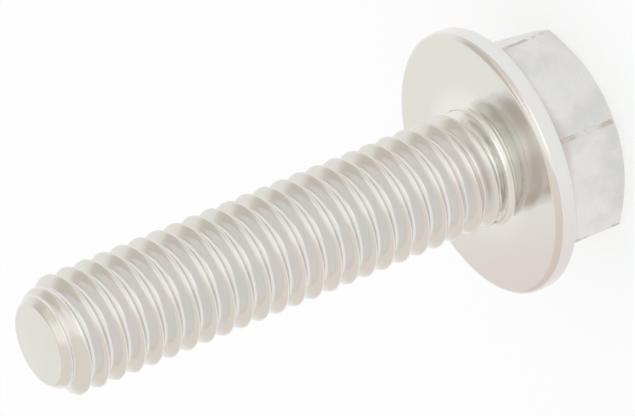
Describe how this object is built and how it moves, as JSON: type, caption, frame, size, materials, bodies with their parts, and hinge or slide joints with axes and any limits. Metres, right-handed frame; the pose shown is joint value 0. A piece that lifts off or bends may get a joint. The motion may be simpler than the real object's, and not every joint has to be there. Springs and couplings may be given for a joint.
{
  "type": "flange bolt",
  "caption": "Hexagon flange bolt, fully threaded: six-sided head with a built-in round flange, straight metric shank and a chamfered, slightly domed tip. Stands on its head.",
  "frame": {"origin": "centre of the head's flat top, on which the bolt stands", "axes": "+Z along the shank from the head to the tip; a flat of the hexagon faces +Y and a corner points along +X"},
  "size_m": [0.0132, 0.0132, 0.0302],
  "materials": {
    "zinc_plated_steel": "bright clear zinc plate, smooth on the bearing face and faintly mottled on the forged flats"
  },
  "bodies": {
    "root": {"flange_bolt": "zinc_plated_steel"}
  },
  "joints": []
}
